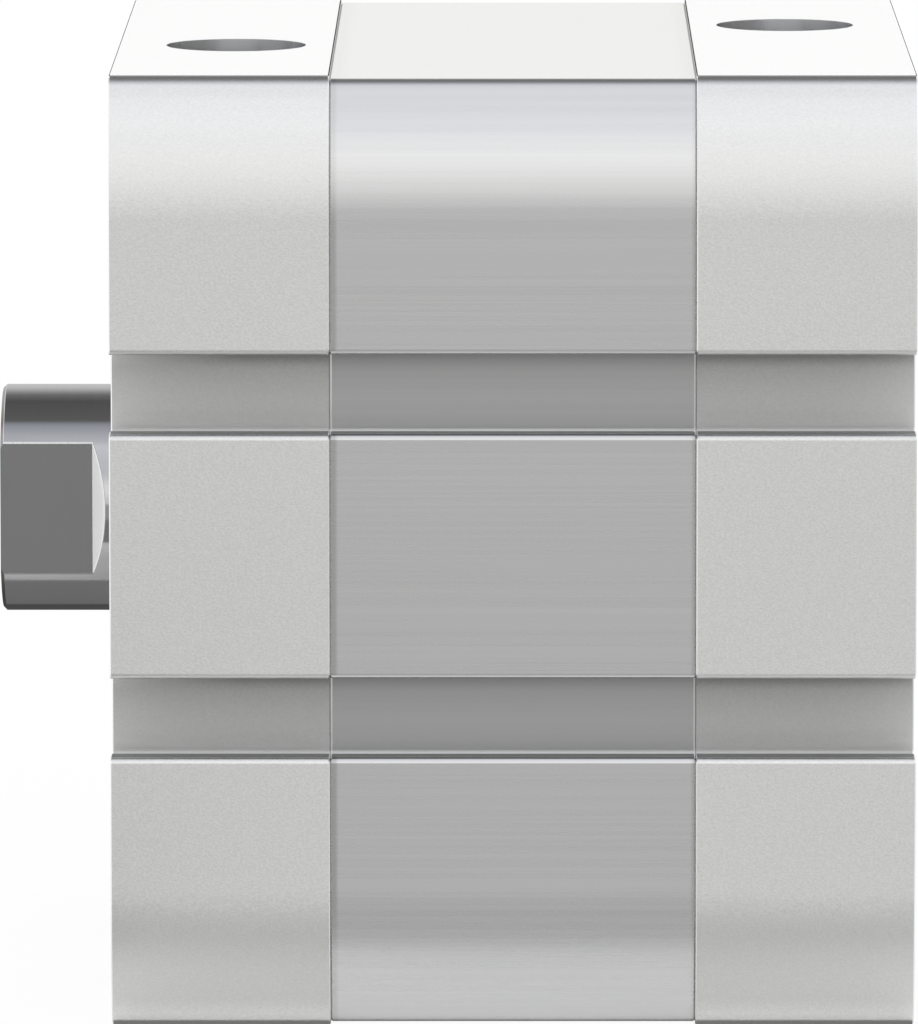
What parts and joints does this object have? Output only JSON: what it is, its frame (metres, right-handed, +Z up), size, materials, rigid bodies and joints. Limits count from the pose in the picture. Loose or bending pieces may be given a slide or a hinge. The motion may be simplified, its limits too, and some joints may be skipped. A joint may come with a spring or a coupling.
{
  "type": "compact pneumatic cylinder",
  "caption": "Compact double-acting pneumatic cylinder: square aluminium barrel between two caps, air ports on top, sensor slots along the sides and a round rod with wrench flats.",
  "frame": {"origin": "on the rod's axis, in the front mounting face of the bearing cap", "axes": "+X along the rod's axis towards the rear face, so the rod comes out along -X; +Z up through the side with the air ports"},
  "size_m": [0.0635, 0.0654, 0.0654],
  "materials": {
    "cap": "fine blasted, anodised",
    "barrel": "extruded, anodised, satin",
    "screw": "zinc plated",
    "rubber": "matte",
    "bush": "sintered bronze",
    "wiper": "satin",
    "bumper": "polyurethane",
    "rod": "hardened and polished",
    "piston": "turned",
    "magnet": "plastic-bonded ferrite",
    "guide": "low-friction plastic",
    "seal": "polyurethane lip seal"
  },
  "bodies": {
    "housing": {"bearing_cap": "cap", "barrel": "barrel", "end_cap": "cap", "front_collar_screws": "screw", "rear_collar_screws": "screw", "front_cap_oring": "rubber", "rear_cap_oring": "rubber", "rod_bearing_bush": "bush", "rod_wiper_seal": "wiper", "front_bumper": "bumper", "rear_bumper": "bumper"},
    "piston_guide": {"guide_ring": "guide"},
    "rod_assembly": {"piston_rod": "rod", "piston_front_half": "piston", "piston_rear_half": "piston", "magnet_ring": "magnet", "front_piston_seal": "seal", "rear_piston_seal": "seal", "piston_screw": "screw", "piston_oring": "rubber"}
  },
  "joints": [
    {"name": "stroke", "type": "slide", "parent": "housing", "child": "piston_guide", "axis": [-1, 0, 0], "range_m": [0, 0.01]},
    {"name": "rod_spin", "type": "hinge", "parent": "piston_guide", "child": "rod_assembly", "pos_m": [0, 0, 0], "axis": [1, 0, 0], "continuous": true}
  ]
}
